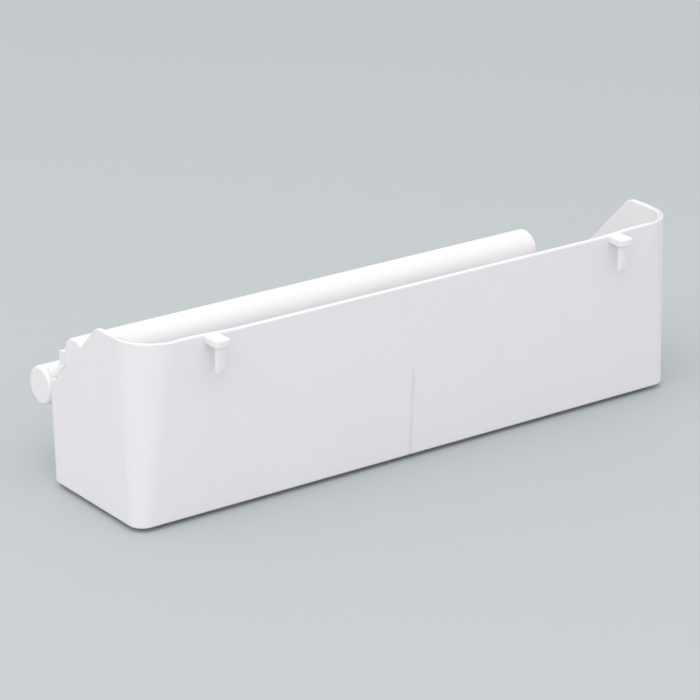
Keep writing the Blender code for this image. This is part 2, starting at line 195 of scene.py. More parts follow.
def meltEdges(piece, voxel, passes, keep):
    # rounds every edge and inner corner of a built-up block, as moulded plastic has them
    pickOnly(piece)
    step = piece.modifiers.new("remesh", "REMESH")
    step.mode = "VOXEL"
    step.voxel_size = voxel
    bpy.ops.object.modifier_apply(modifier=step.name)
    step = piece.modifiers.new("relax", "SMOOTH")
    step.factor = 0.5
    step.iterations = passes
    bpy.ops.object.modifier_apply(modifier=step.name)
    step = piece.modifiers.new("thin out", "DECIMATE")
    step.ratio = keep
    bpy.ops.object.modifier_apply(modifier=step.name)


def smoothPiece(piece, angle=32):
    pickOnly(piece)
    bpy.ops.object.shade_smooth_by_angle(angle=math.radians(angle))
    step = piece.modifiers.new("even normals", "WEIGHTED_NORMAL")
    step.keep_sharp = True
    bpy.ops.object.modifier_apply(modifier=step.name)


def copyTo(piece, node, by):
    # another of the same with its own mesh, which holds its place as well
    pickOnly(piece)
    bpy.ops.object.duplicate()
    twin = named(joinedName(node))
    twin.location = by
    return bake(twin)


def repeated(model, nodes):
    # models the first one and copies it to the others' places
    first = model(nodes[0])
    return [first] + [copyTo(first, node, middleOf(node) - middleOf(nodes[0])) for node in nodes[1:]]


def settle(piece, body, material, node):
    piece.data.materials.clear()
    piece.data.materials.append(material)
    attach(piece, body)
    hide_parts(node)


class Wire:
    # a socket that can stand in a sum

    def __init__(self, socket):
        self.socket = socket
        self.tree = socket.id_data

    def node(self, kind, settings=None, inputs=None, output=0):
        made = self.tree.nodes.new(kind)
        for key, value in (settings or {}).items():
            setattr(made, key, value)
        for key, value in (inputs or {}).items():
            if isinstance(value, Wire):
                self.tree.links.new(value.socket, made.inputs[key])
            else:
                made.inputs[key].default_value = value
        return Wire(made.outputs[output])

    def maths(self, operation, first, second=None, clamp=False):
        inputs = {0: first}
        if second is not None:
            inputs[1] = second
        return self.node("ShaderNodeMath", {"operation": operation, "use_clamp": clamp}, inputs)

    def __add__(self, other):
        return self.maths("ADD", self, other)

    def __radd__(self, other):
        return self.maths("ADD", other, self)

    def __sub__(self, other):
        return self.maths("SUBTRACT", self, other)

    def __rsub__(self, other):
        return self.maths("SUBTRACT", other, self)

    def __mul__(self, other):
        return self.maths("MULTIPLY", self, other)

    def __rmul__(self, other):
        return self.maths("MULTIPLY", other, self)

    def __abs__(self):
        return self.maths("ABSOLUTE", self)

    def axes(self):
        parts = self.node("ShaderNodeSeparateXYZ", None, {0: self}).socket.node
        return [Wire(socket) for socket in parts.outputs]

    def below(self, edge, soft):
        # 1 where this is under the edge, 0 above it
        return self.node(
            "ShaderNodeMapRange",
            {"interpolation_type": "SMOOTHSTEP"},
            {
                "Value": self,
                "From Min": edge - soft,
                "From Max": edge + soft,
                "To Min": 1.0,
                "To Max": 0.0,
            },
        )

    def into(self, socket):
        self.tree.links.new(self.socket, socket)


def newMaterial(name, colour, roughness, extra=None):
    made = bpy.data.materials.new(name)
    made.use_nodes = True
    shader = made.node_tree.nodes["Principled BSDF"]
    shader.inputs["Base Color"].default_value = (*colour, 1)
    shader.inputs["Roughness"].default_value = roughness
    for key, value in (extra or {}).items():
        shader.inputs[key].default_value = value
    coords = made.node_tree.nodes.new("ShaderNodeTexCoord")
    return made, shader, Wire(coords.outputs["Object"])


def noise(place, scale, detail=3.0, rough=0.5):
    inputs = {"Vector": place, "Scale": scale, "Detail": detail, "Roughness": rough}
    return place.node("ShaderNodeTexNoise", None, inputs)


def mixColours(mask, first, second):
    # the colour sockets of a Mix node are its inputs 6 and 7 and its output 2
    settings = {"data_type": "RGBA", "blend_type": "MIX"}
    return mask.node("ShaderNodeMix", settings, {0: mask, 6: first, 7: second}, output=2)


def bump(height, strength, distance):
    inputs = {"Height": height, "Strength": strength, "Distance": distance}
    return height.node("ShaderNodeBump", None, inputs)


whiteFinish = {
    "colour": (0.885, 0.868, 0.885),
    "shade": (0.868, 0.850, 0.868),  # in the faint cloudy patches
    "roughness": 0.36,
    "roughnessSpread": 0.10,
    "clouds": 26,  # the noise scales
    "flow": 9,
    "swell": 140,
    "wear": 60,
    "grain": 2600,
    "stretch": (0.35, 1.0, 1.6),  # the flow runs along the mould
    "patchFrom": 0.38,
    "patchContrast": 3.2,
    "bumpStrength": 0.35,
    "bumpDistance": 0.00004,
}

rollerFinish = {
    **whiteFinish,
    "colour": (0.905, 0.898, 0.906),
    "shade": (0.888, 0.881, 0.890),
    "roughness": 0.30,
}


def makeWhite(name, values, marks=None):
    # satin injection-moulded plastic: faint flow clouds, a fine spark texture, handling marks
    gloss = {"IOR": 1.49, "Specular IOR Level": 0.45}
    made, shader, place = newMaterial(name, values["colour"], values["roughness"], gloss)
    clouds = noise(place, values["clouds"], 4.0, 0.55)
    stretched = place.node("ShaderNodeMapping", None, {"Vector": place, "Scale": values["stretch"]})
    flow = noise(stretched, values["flow"], 2.0)
    patches = clouds * 0.6 + flow * 0.4 - values["patchFrom"]
    mask = patches.maths("MULTIPLY", patches, values["patchContrast"], clamp=True)
    tint = mixColours(mask, (*values["colour"], 1), (*values["shade"], 1))
    grain = noise(place, values["grain"], 2.0, 0.6)
    swell = noise(place, values["swell"], 2.0)
    height = grain * 0.35 + swell * 0.65
    if marks:
        tint, height = marks(place, tint, height)
    tint.into(shader.inputs["Base Color"])
    wear = noise(place, values["wear"], 5.0, 0.6)
    rough = values["roughness"] + (wear - 0.5) * values["roughnessSpread"] + (grain - 0.5) * 0.05
    rough.into(shader.inputs["Roughness"])
    bump(height, values["bumpStrength"], values["bumpDistance"]).into(shader.inputs["Normal"])
    return made


sinkLineAndShade = {
    "x": -0.0030,
    "halfWidth": 0.0007,
    "blur": 0.0006,
    "top": 0.0340,
    "fade": 0.0040,
    "frontOf": -0.0285,  # so that only the front wall has it
    # painted shade: the grey that the sink line's colour is darkened towards, and how much of it
    "colour": (0.60, 0.585, 0.60, 1),
    "tint": 0.30,
    "depth": 0.9,
}

ejectorRingsAndShade = {
    "spacing": 0.046,
    "radius": 0.0030,
    "line": 0.0003,
    "blur": 0.0002,
    "rowMiddle": -0.0040,
    "rowReach": 0.0140,
    "floor": (0.0040, 0.0050),  # heights just under and just over the floor inside
    # painted shade: the grey that the ejector-pin ring outlines are darkened towards, and how much of
    # it
    "colour": (0.62, 0.61, 0.62, 1),
    "tint": 0.35,
    "depth": 0.8,
}


def trayMarksAndShade(place, tint, height):
    # a sink line on the front wall where the divider's guide ribs stand behind it,
    # and round ejector-pin marks on the floor inside; each is a shallow bump, with painted shade
    # darkening its colour
    x, y, z = place.axes()
    front = y.below(sinkLineAndShade["frontOf"], 0.0002)
    line = abs(x - sinkLineAndShade["x"]).below(sinkLineAndShade["halfWidth"], sinkLineAndShade["blur"])
    line = line * z.below(sinkLineAndShade["top"], sinkLineAndShade["fade"]) * front
    # painted shade darkens the colour along the sink line; the height further down makes the real
    # groove
    tint = mixColours(line * sinkLineAndShade["tint"], tint, sinkLineAndShade["colour"])
    low, high = ejectorRingsAndShade["floor"]
    onFloor = z.below(high, 0.0003) * (1 - z.below(low, 0.0002))
    along = x.maths("PINGPONG", x, ejectorRingsAndShade["spacing"] / 2) - ejectorRingsAndShade["spacing"] / 4
    across = abs(y - ejectorRingsAndShade["rowMiddle"]) - ejectorRingsAndShade["rowReach"]
    squared = along * along + across * across
    reach = squared.maths("SQRT", squared)
    ring = abs(reach - ejectorRingsAndShade["radius"]).below(ejectorRingsAndShade["line"], ejectorRingsAndShade["blur"]) * onFloor
    # painted shade darkens the colour along the ring outlines; the height below makes the real step
    tint = mixColours(ring * ejectorRingsAndShade["tint"], tint, ejectorRingsAndShade["colour"])
    return tint, height - line * sinkLineAndShade["depth"] - ring * ejectorRingsAndShade["depth"]


whitePlastic = makeWhite("whitePlastic", whiteFinish)
trayPlastic = makeWhite("trayPlastic", whiteFinish, trayMarksAndShade)
rollerPlastic = makeWhite("rollerPlastic", rollerFinish)

steelFinish = {
    "colour": (0.58, 0.585, 0.60),
    "dark": (0.50, 0.51, 0.53, 1),
    "light": (0.68, 0.68, 0.69, 1),
    "roughness": 0.32,
}


def makeSteel():
    made, shader, place = newMaterial(
        "zincSteel", steelFinish["colour"], steelFinish["roughness"], {"Metallic": 1.0}
    )
    blotch = noise(place, 900, 4.0, 0.6)
    mixColours(blotch, steelFinish["dark"], steelFinish["light"]).into(shader.inputs["Base Color"])
    (0.24 + blotch * 0.22).into(shader.inputs["Roughness"])
    bump(noise(place, 3500, 2.0), 0.3, 0.00002).into(shader.inputs["Normal"])
    return made


rubberFinish = {
    "colour": (0.075, 0.078, 0.082),
    "dark": (0.055, 0.057, 0.060, 1),
    "dusty": (0.12, 0.12, 0.125, 1),
    "roughness": 0.75,
}


def makeRubber():
    made, shader, place = newMaterial("greyRubber", rubberFinish["colour"], rubberFinish["roughness"])
    dust = noise(place, 420, 5.0, 0.65)
    mixColours(dust, rubberFinish["dark"], rubberFinish["dusty"]).into(shader.inputs["Base Color"])
    (0.66 + dust * 0.2).into(shader.inputs["Roughness"])
    bump(noise(place, 2400, 3.0), 0.6, 0.00006).into(shader.inputs["Normal"])
    return made


zincSteel = makeSteel()
greyRubber = makeRubber()
print("materials made")

shellLow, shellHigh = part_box("trough_shell")
under = shellLow.z
rimTop = shellHigh.z

tray = {
    "halfLength": 0.1150,
    "endLean": 0.0003,
    "front": -0.0308,  # outer faces at the underside
    "rear": 0.0231,
    "frontLean": 0.0035 / 0.0650,  # metres outwards for each metre up
    "rearTop": 0.0243,
    "wall": 0.0019,
    "floor": 0.0028,
    "frontRadius": 0.0145,  # of the front corners at the rim
    "frontFoot": 0.0055,  # and at the underside
    "rearRadius": 0.0036,
    "baseRadius": 0.0008,
    "floorRadius": 0.0015,
    "rimRound": 0.0007,
    "rimDip": 0.0008,
    "dipFrom": 0.0755,
    "dipTo": 0.0955,
    # the end walls' top edge as (y, z), from the level stretch to the rear wall
    "slope": ((-0.0079, 0.0665), (0.0117, 0.0465), (0.0206, 0.0385)),
    "slopeRound": 0.0024,
    # where the rim can bend, as rows of a first place, a spacing and a count
    "slopeRows": ((-0.0110, 0.0008, 9), (0.0, 0.0040, 2), (0.0085, 0.0008, 8), (0.0176, 0.0006, 4)),
    "dipSpacing": 0.0025,
    "dipCount": 9,
    "notchRadius": 0.0009,  # the nick in the bottom edge, at the foot of the witness line
    "notchDrop": 0.0004,
    "notchDepth": 0.0012,
}
rearRim = tray["slope"][-1][1]
rearLean = (tray["rearTop"] - tray["rear"]) / (rearRim - under)


def slopeLevel(y):
    points = tray["slope"]
    if y <= points[0][0]:
        return points[0][1]
    for (y0, z0), (y1, z1) in zip(points, points[1:]):
        if y <= y1:
            return z0 + (z1 - z0) * (y - y0) / (y1 - y0)
    return points[-1][1]


def rimLevel(x, y):
    # the slope with its corners rounded, and the shallow dip between the hook tabs
    steps = 9
    spread = [tray["slopeRound"] * (2 * i / (steps - 1) - 1) for i in range(steps)]
    level = sum(slopeLevel(y + by) for by in spread) / steps
    share = (abs(x) - tray["dipFrom"]) / (tray["dipTo"] - tray["dipFrom"])
    share = min(1, max(0, share))
    return min(level, rimTop - tray["rimDip"] * (1 - share * share * (3 - 2 * share)))


def outlineAt(name, z, inset):
    # the tray's outline at a height, as a ring of edges with rounded corners
    rise = (z - under) / (rimTop - under)
    x = tray["halfLength"] - tray["endLean"] * (1 - rise) - inset
    front = tray["front"] - tray["frontLean"] * (z - under) + inset
    rear = tray["rear"] + (tray["rearTop"] - tray["rear"]) * rise - inset
    frontRound = tray["frontFoot"] + (tray["frontRadius"] - tray["frontFoot"]) * rise - inset
    rearRound = tray["rearRadius"] - inset
    deselectAll()
    bpy.ops.mesh.primitive_plane_add(size=1, location=(0, (front + rear) / 2, z))
    ring = named(name)
    ring.scale = (2 * x, rear - front, 1)
    bake(ring)
    for y, radius, segments in ((front, frontRound, 20), (rear, rearRound, 8)):
        pickOnly(ring)
        bpy.ops.object.mode_set(mode="EDIT")
        bpy.ops.mesh.select_mode(type="VERT")
        bpy.ops.mesh.select_all(action="DESELECT")
        mesh = bmesh.from_edit_mesh(ring.data)
        for corner in mesh.verts:
            corner.select_set(abs(corner.co.y - y) < nearly)
        bpy.ops.mesh.bevel(offset=radius, segments=segments, profile=0.5, affect="VERTICES")
        leaveEdit()
    pickOnly(ring)
    bpy.ops.object.mode_set(mode="EDIT")
    bpy.ops.mesh.select_all(action="SELECT")
    bpy.ops.mesh.delete(type="ONLY_FACE")
    leaveEdit()
    return ring


def bridgeOpen(piece):
    # walls between the two open rings, then a face over whatever is still open
    pickOnly(piece)
    bpy.ops.object.mode_set(mode="EDIT")
    bpy.ops.mesh.select_mode(type="EDGE")
    bpy.ops.mesh.select_all(action="DESELECT")
    bpy.ops.mesh.select_non_manifold(extend=False)
    bpy.ops.mesh.bridge_edge_loops()
    bpy.ops.mesh.select_all(action="SELECT")
    bpy.ops.mesh.fill_holes(sides=0)
    bpy.ops.mesh.select_all(action="SELECT")
    bpy.ops.mesh.normals_make_consistent(inside=False)
    leaveEdit()


def trayBlock(name):
    # leaning walls whose front corners tighten towards the base
    block = gather([outlineAt(name, under, 0), outlineAt("rimRing", rimTop, 0)])
    bridgeOpen(block)
    roundEdges(block, lambda a, b: max(a.z, b.z) < under + nearly, tray["baseRadius"], 4)
    return block


def hollowOut(shell):
    # inset and open the top, then walls down to a ring at the floor
    floorTop = under + tray["floor"]
    editFaces(shell, lambda at, normal: normal.z > 0.9 and at.z > rimTop - nearly)
    bpy.ops.mesh.inset(thickness=tray["wall"])
    bpy.ops.mesh.delete(type="FACE")
    leaveEdit()
    shell = gather([shell, outlineAt("floorRing", floorTop, tray["wall"])])
    bridgeOpen(shell)
    roundEdges(
        shell,
        lambda a, b: abs(a.z - floorTop) < nearly and abs(b.z - floorTop) < nearly,
        tray["floorRadius"],
        5,
    )
    return shell


def placesIn(rows):
    return [first + spacing * i for first, spacing, count in rows for i in range(count)]


def scoreAcross(shell, normal, places):
    # cuts the mesh along parallel planes, so that the rim has points to bend at
    pickOnly(shell)
    bpy.ops.object.mode_set(mode="EDIT")
    for place in places:
        bpy.ops.mesh.select_all(action="SELECT")
        at = [place * n for n in normal]
        bpy.ops.mesh.bisect(plane_co=at, plane_no=normal)
    leaveEdit()


def lowerRim(shell):
    # the rim's own rows go down to the slope, the rear wall and the dip
    reach = rimTop - rearRim
    group = shell.vertex_groups.new(name="drop")
    for point in shell.data.vertices:
        if point.co.z > rimTop - 3 * tray["rimRound"]:
            share = (rimTop - rimLevel(point.co.x, point.co.y)) / reach
            group.add([point.index], share, "REPLACE")
    step = shell.modifiers.new("lower rim", "DISPLACE")
    step.direction = "Z"
    step.mid_level = 0
    step.strength = -reach
    step.vertex_group = "drop"
    pickOnly(shell)
    bpy.ops.object.modifier_apply(modifier=step.name)
    shell.vertex_groups.clear()


hook = {
    "x": (-0.0865, 0.0845),
    "width": 0.0058,
    "tip": -0.0413,
    "arm": 0.0026,
    "tipRound": 0.0012,
    "armSoft": 0.0004,
    "leg": 0.0031,
    "legWidth": 0.0040,
    "legRound": 0.0009,
    "legSoft": 0.0005,
    "setback": 0.0003,
    "drop": 0.0119,
    "taper": 0.0012,
}


def makeHooks():
    hooks = []
    top = rimTop - tray["rimDip"]
    bottom = top - hook["drop"]
    front = hook["tip"] + hook["setback"]
    root = tray["front"] - tray["frontLean"] * (top - under) + tray["wall"] / 2
    for x in hook["x"]:
        half = hook["width"] / 2
        arm = addBlock("hookArm", (x - half, hook["tip"], top - hook["arm"]), (x + half, root, top))
        roundEdges(
            arm,
            lambda a, b: max(a.y, b.y) < hook["tip"] + nearly and abs(a.z - b.z) > 0.0001,
            hook["tipRound"],
            4,
        )
        softenEdges(arm, hook["armSoft"], 3)
        half = hook["legWidth"] / 2
        leg = addBlock("hookLeg", (x - half, front, bottom),
                       (x + half, front + hook["leg"], top - hook["arm"] / 2))
        moveEdges(leg, lambda a, b: max(a.z, b.z) < bottom + nearly and max(a.y, b.y) < front + nearly,
                  (0, hook["taper"], 0))
        roundEdges(leg, lambda a, b: abs(a.z - b.z) > 0.005, hook["legRound"], 4)
        softenEdges(leg, hook["legSoft"], 3)
        hooks.append(weld(arm, leg))
    return hooks


fastenerPlaces = ("left_outer", "left_inner", "right_inner", "right_outer")
screwX = [middleOf(place + "_screw").x for place in fastenerPlaces]
screwZ = middleOf("left_outer_screw").z

boss = {"radius": 0.0030, "hole": 0.0013, "depth": 0.0022, "soft": 0.0003}
legThick = 0.0025  # of the brackets' legs, which lie between the bosses and the washers
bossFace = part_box("left_outer_washer")[0].y - legThick - 2 * clearance


def makeBosses():
    posts = []
    root = tray["rear"] - tray["wall"] / 2 + rearLean * screwZ
    for x in screwX:
        post = addDisc("boss", boss["radius"], (x, root, screwZ), (x, bossFace, screwZ), 48)
        softenEdges(post, boss["soft"], 2)
        cut(post, addDisc("hole", boss["hole"], (x, bossFace - boss["depth"], screwZ),
                          (x, bossFace + past, screwZ), 32))
        posts.append(post)
    return posts


guide = {
    "x": -0.0025,
    "plate": 0.0016,
    "width": 0.0015,
    "proud": 0.0020,
    "top": 0.0347,
    "footRound": 0.0002,
    "innerRound": 0.0015,
    "soft": 0.0003,
}


def crossBlock(name, left, right, inset, bottom, top, baseRadius):
    # a block across the tray between its leaning walls
    block = addBlock(name, (left, tray["front"] + inset, bottom), (right, tray["rear"] - inset, top))
    for height, isLevel in ((top, lambda a, b: min(a.z, b.z) > top - nearly),
                            (bottom, lambda a, b: max(a.z, b.z) < bottom + nearly)):
        rise = height - under
        moveEdges(block, lambda a, b: isLevel(a, b) and max(a.y, b.y) < 0,
                  (0, -tray["frontLean"] * rise, 0))
        moveEdges(block, lambda a, b: isLevel(a, b) and min(a.y, b.y) > 0, (0, rearLean * rise, 0))
    roundEdges(block, lambda a, b: abs(a.x - b.x) > 0.0005 and max(a.z, b.z) < bottom + nearly,
               baseRadius, 6)
    return block


def makeGuides():
    # U-shaped ribs each side of the divider, up the front wall, over the floor and up the rear wall
    ribs = []
    floorTop = under + tray["floor"]
    for side in (-1, 1):
        middle = guide["x"] + side * (guide["plate"] / 2 + clearance + guide["width"] / 2)
        left, right = middle - guide["width"] / 2, middle + guide["width"] / 2
        rib = crossBlock("guideRib", left, right, tray["wall"] / 2, under + tray["floor"] / 2,
                         guide["top"], guide["footRound"])
        hollow = crossBlock("guideHollow", left - past, right + past, tray["wall"] + guide["proud"],
                            floorTop + guide["proud"], guide["top"] + 0.01, guide["innerRound"])
        cut(rib, hollow)
        softenEdges(rib, guide["soft"], 2)
        ribs.append(rib)
    return ribs


foot = {
    "radius": 0.0050,
    "sunk": 0.0010,
    "round": 0.0004,
    "rimWidth": 0.0012,
    "rimStep": 0.0003,
    "hollow": 0.0002,
}
footNodes = ("front_left_foot", "front_right_foot", "rear_left_foot", "rear_right_foot")


def makePockets():
    pockets = []
    for name in footNodes:
        at = middleOf(name)
        pockets.append(addDisc("pocket", foot["radius"] + clearance, (at.x, at.y, under - past),
                               (at.x, at.y, under + foot["sunk"] + clearance), 64))
    return pockets


def makeNotch():
    z = under - tray["notchDrop"]
    return addDisc("notch", tray["notchRadius"], (sinkLineAndShade["x"], tray["front"] - 2 * past, z),
                   (sinkLineAndShade["x"], tray["front"] + tray["notchDepth"], z), 24)


def buildTray():
    shell = hollowOut(trayBlock("trayMoulding"))
    roundEdges(shell, lambda a, b: min(a.z, b.z) > rimTop - nearly, tray["rimRound"], 4)
    scoreAcross(shell, (0, 1, 0), placesIn(tray["slopeRows"]))
    dips = placesIn([(tray["dipFrom"], tray["dipSpacing"], tray["dipCount"])])
    scoreAcross(shell, (1, 0, 0), dips + [-x for x in dips])
    lowerRim(shell)
    weld(shell, gather(makeHooks() + makeGuides() + makeBosses()))
    cut(shell, gather(makePockets() + [makeNotch()]))
    smoothPiece(shell)
    settle(shell, "tray", trayPlastic, "trough_shell")


buildTray()
print("tray moulding done")

divider = {
    "notchHalf": 0.0080,
    "notchDepth": 0.0040,
    "notchRound": 0.0038,
    "reach": 0.0100,
    "edge": 0.0004,
}


def buildDivider():
    low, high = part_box("divider_plate")
    plate = crossBlock("dividerPlate", low.x, high.x, tray["wall"] + clearance, low.z, high.z,
                       tray["floorRadius"])
    middleY = (tray["front"] + tray["rear"]) / 2
    reach = divider["reach"]
    finger = addBlock(
        "finger",
        (guide["x"] - reach, middleY - divider["notchHalf"], high.z - divider["notchDepth"]),
        (guide["x"] + reach, middleY + divider["notchHalf"], high.z + reach),
    )
    roundEdges(finger, lambda a, b: abs(a.x - b.x) > reach and max(a.z, b.z) < high.z,
               divider["notchRound"], 10)
    cut(plate, finger)
    softenEdges(plate, divider["edge"], 3)
    smoothPiece(plate)
    settle(plate, "tray", whitePlastic, "divider_plate")


buildDivider()
print("divider done")

roller = {
    "radius": 0.0069,
    "bore": 0.0055,
    "tubeEdge": 0.00015,
    "edge": 0.0012,
    "flange": 0.0022,
    "seam": 0.00004,
    "spigot": 0.0052,
    "spigotLength": 0.0080,
    "spigotEdge": 0.0003,
    "dishRim": 0.0004,
    "dishStep": 0.0006,
    "dishDepth": 0.00012,
    "sides": 128,
}


def buildTube(name, left, right, y, z):
    start = (left + roller["flange"] + roller["seam"], y, z)
    end = (right - roller["flange"] - roller["seam"], y, z)
    tube = addDisc(joinedName(name) + "Tube", roller["radius"], start, end, roller["sides"])
    editFaces(tube, lambda at, normal: abs(normal.x) > 0.9)
    bpy.ops.mesh.inset(thickness=roller["radius"] - roller["bore"], use_individual=True)
    bpy.ops.mesh.delete(type="FACE")
    leaveEdit()

    def inBore(a):
        return math.hypot(a.y - y, a.z - z) < roller["bore"] + 0.0001

    editEdges(tube, lambda a, b: abs(a.x - b.x) < nearly and inBore(a) and inBore(b))
    bpy.ops.mesh.bridge_edge_loops()
    bpy.ops.mesh.select_all(action="SELECT")
    bpy.ops.mesh.normals_make_consistent(inside=False)
    leaveEdit()
    softenEdges(tube, roller["tubeEdge"], 2)
    smoothPiece(tube)
    settle(tube, name, rollerPlastic, name + "_tube")


def buildPlug(name, side, x, y, z, inward):
    plug = addDisc(joinedName(name) + side.capitalize() + "Plug", roller["radius"], (x, y, z),
                   (x + inward * roller["flange"], y, z), roller["sides"])
    editFaces(plug, lambda at, normal: normal.x * inward > 0.9)
    bpy.ops.mesh.inset(thickness=roller["radius"] - roller["spigot"])
    bpy.ops.mesh.extrude_region_move(
        TRANSFORM_OT_translate={"value": (inward * roller["spigotLength"], 0, 0)}
    )
    leaveEdit()

    def onOuterEdge(a):
        return abs(a.x - x) < nearly and math.hypot(a.y - y, a.z - z) > roller["radius"] - 0.0001

    roundEdges(plug, lambda a, b: onOuterEdge(a) and onOuterEdge(b), roller["edge"], 10)
    # a very shallow dish in the end, as a moulded cap has
    editFaces(plug, lambda at, normal: abs(at.x - x) < nearly and abs(normal.x) > 0.9)
    bpy.ops.mesh.inset(thickness=roller["dishRim"])
    bpy.ops.mesh.inset(thickness=roller["dishStep"])
    bpy.ops.transform.translate(value=(inward * roller["dishDepth"], 0, 0))
    leaveEdit()
    softenEdges(plug, roller["spigotEdge"], 2)
    smoothPiece(plug)
    settle(plug, name, rollerPlastic, name + "_" + side + "_plug")


def buildRoller(name):
    at = middleOf(name + "_tube")
    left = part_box(name + "_left_plug")[0].x
    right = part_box(name + "_right_plug")[1].x
    buildTube(name, left, right, at.y, at.z)
    buildPlug(name, "left", left, at.y, at.z, 1)
    buildPlug(name, "right", right, at.y, at.z, -1)


buildRoller("upper_roller")
buildRoller("lower_roller")
print("rollers done")

upperAxis = middleOf("upper_roller_tube")
lowerAxis = middleOf("lower_roller_tube")

bracket = {
    "saddle": 0.0020,
    "armWidth": 0.0060,
    "armFront": 0.0060,  # behind the upper roller's axis
    "armBack": 0.0293,
    "armFoot": 0.0012,  # above the rear rim
    "armTop": 0.0013,  # under the upper roller's axis
    "armFall": 0.0028,  # its top falls to the rear by this
    "armRise": 0.0032,  # and its foot rises to the front by this
    "seatTop": 0.0050,
    "overlap": 0.0010,
    "lipThick": 0.0023,
    "lipDrop": 0.0060,
    "legStep": 0.0025,
    "reach": 0.0120,
    "mouthFront": 0.0021,  # how far the upper mouth's edges lie under and over the axis
    "mouthRear": 0.0056,
    "mouthTop": 0.0200,
    "lowerMouth": 0.0006,
    "bolt": 0.0013,
    "voxel": 0.00022,
    "passes": 6,
    "keep": 0.3,
}


def ringAbout(name, axis, left, right):
    radius = roller["radius"] + clearance + bracket["saddle"]
    return addDisc(name, radius, (left, axis.y, axis.z), (right, axis.y, axis.z), 96)


def boreAbout(axis, left, right):
    radius = roller["radius"] + clearance
    return addDisc("bore", radius, (left - past, axis.y, axis.z), (right + past, axis.y, axis.z), 96)


def addArm(left, right):
    # the sloping block behind the upper saddle
    back = bracket["armBack"]
    arm = addBlock("arm", (left, upperAxis.y + bracket["armFront"], rearRim + bracket["armFoot"]),
                   (right, back, upperAxis.z - bracket["armTop"]))
    halfway = rearRim + 0.005
    moveEdges(arm, lambda a, b: min(a.y, b.y) > back - nearly and min(a.z, b.z) > halfway,
              (0, 0, -bracket["armFall"]))
    moveEdges(arm, lambda a, b: max(a.y, b.y) < back - 0.005 and max(a.z, b.z) < halfway,
              (0, 0, bracket["armRise"]))
    return arm


def upperMouth(left, right):
    # what is cut away so that the roller snaps in from above
    reach = bracket["reach"]
    mouth = addBlock("opening", (left - past, upperAxis.y - reach, upperAxis.z),
                     (right + past, upperAxis.y, upperAxis.z + bracket["mouthTop"]))

    def isLow(a, b):
        return max(a.z, b.z) < upperAxis.z + 0.01

    moveEdges(mouth, lambda a, b: isLow(a, b) and max(a.y, b.y) < upperAxis.y - reach + past,
              (0, 0, -bracket["mouthFront"]))
    pullFaces(mouth, lambda at, normal: normal.y > 0.9, (0, reach, 0))
    moveEdges(mouth, lambda a, b: isLow(a, b) and min(a.y, b.y) > upperAxis.y + reach - past,
              (0, 0, bracket["mouthRear"]))
    return mouth


def lowerMouth(left, right):
    # the lower saddle is open at the rear
    reach = bracket["reach"]
    return addBlock("rearOpening",
                    (left - past, lowerAxis.y + bracket["lowerMouth"], lowerAxis.z - reach),
                    (right + past, lowerAxis.y + reach, lowerAxis.z + reach))


def buildBracket(node, inward):
    low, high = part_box(node)
    first, last = (low.x, high.x) if inward > 0 else (high.x, low.x)
    full = sorted((first, last))
    left, right = sorted((first + inward * bracket["armWidth"], last))
    wallOut = tray["rearTop"]
    wallIn = wallOut - tray["wall"] - clearance
    outside = bossFace + clearance + legThick
    step = screwZ + boss["radius"] + bracket["legStep"]
    above = rearRim + bracket["overlap"]
    lipBack = wallIn - rearLean * bracket["lipDrop"]
    body = ringAbout(joinedName(node.replace("_roller", "")), upperAxis, *full)
    weld(body, addArm(*full))
    weld(body, addBlock("seat", (left, wallIn - bracket["lipThick"], rearRim + clearance),
                        (right, bracket["armBack"] + bracket["overlap"],
                         rearRim + bracket["seatTop"])))
    weld(body, addBlock("lip", (left, lipBack - bracket["lipThick"], rearRim - bracket["lipDrop"]),
                        (right, lipBack, above)))
    weld(body, addBlock("leg", (left, wallOut + clearance, step), (right, outside, above)))
    # a hair thicker than the leg, so that no two faces lie in one plane
    weld(body, addBlock("flange", (left, bossFace + clearance, low.z),
                        (right, outside + 0.00001, step + bracket["overlap"])))
    weld(body, ringAbout("lowerSaddle", lowerAxis, left, right))
    for tool in (boreAbout(upperAxis, *full), boreAbout(lowerAxis, *full), upperMouth(*full),
                 lowerMouth(*full)):
        cut(body, tool)
    for x in screwX:
        if left < x < right:
            cut(body, addDisc("boltHole", bracket["bolt"], (x, bossFace - 2 * past, screwZ),
                              (x, outside + 2 * past, screwZ), 32))
    meltEdges(body, bracket["voxel"], bracket["passes"], bracket["keep"])
    smoothPiece(body, 60)
    settle(body, "tray", whitePlastic, node)


buildBracket("left_roller_bracket", 1)
buildBracket("right_roller_bracket", -1)
print("brackets done")

screw = {
    "head": 0.0023,
    "thick": 0.0017,
    "dome": 0.0010,
    "shank": 0.0010,
    "sunk": 0.0004,  # the shank runs into the head by this
    "slotHalf": 0.00025,
    "slotReach": 0.0013,
    "slotDepth": 0.0009,
    "slotTaper": 0.6,
    "edge": 0.00008,
}


def modelScrew(name):
    low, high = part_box(name)
    at = middleOf(name)
    seat = high.y - screw["thick"]
    body = addDisc(joinedName(name), screw["head"], (at.x, seat, at.z), (at.x, high.y, at.z), 64)
    roundEdges(body, lambda a, b: min(a.y, b.y) > high.y - nearly, screw["dome"], 8)
    reach, half = screw["slotReach"], screw["slotHalf"]
    for wide, tall in ((reach, half), (half, reach)):
        slot = addBlock("slot", (at.x - wide, high.y - screw["slotDepth"], at.z - tall),
                        (at.x + wide, high.y + past, at.z + tall))
        editFaces(slot, lambda place, normal: normal.y < -0.9)
        bpy.ops.transform.resize(value=(screw["slotTaper"], 1, screw["slotTaper"]))
        leaveEdit()
        cut(body, slot)
    weld(body, addDisc("shank", screw["shank"], (at.x, low.y, at.z),
                       (at.x, seat + screw["sunk"], at.z), 32))
    softenEdges(body, screw["edge"], 2)
    smoothPiece(body)
    return body


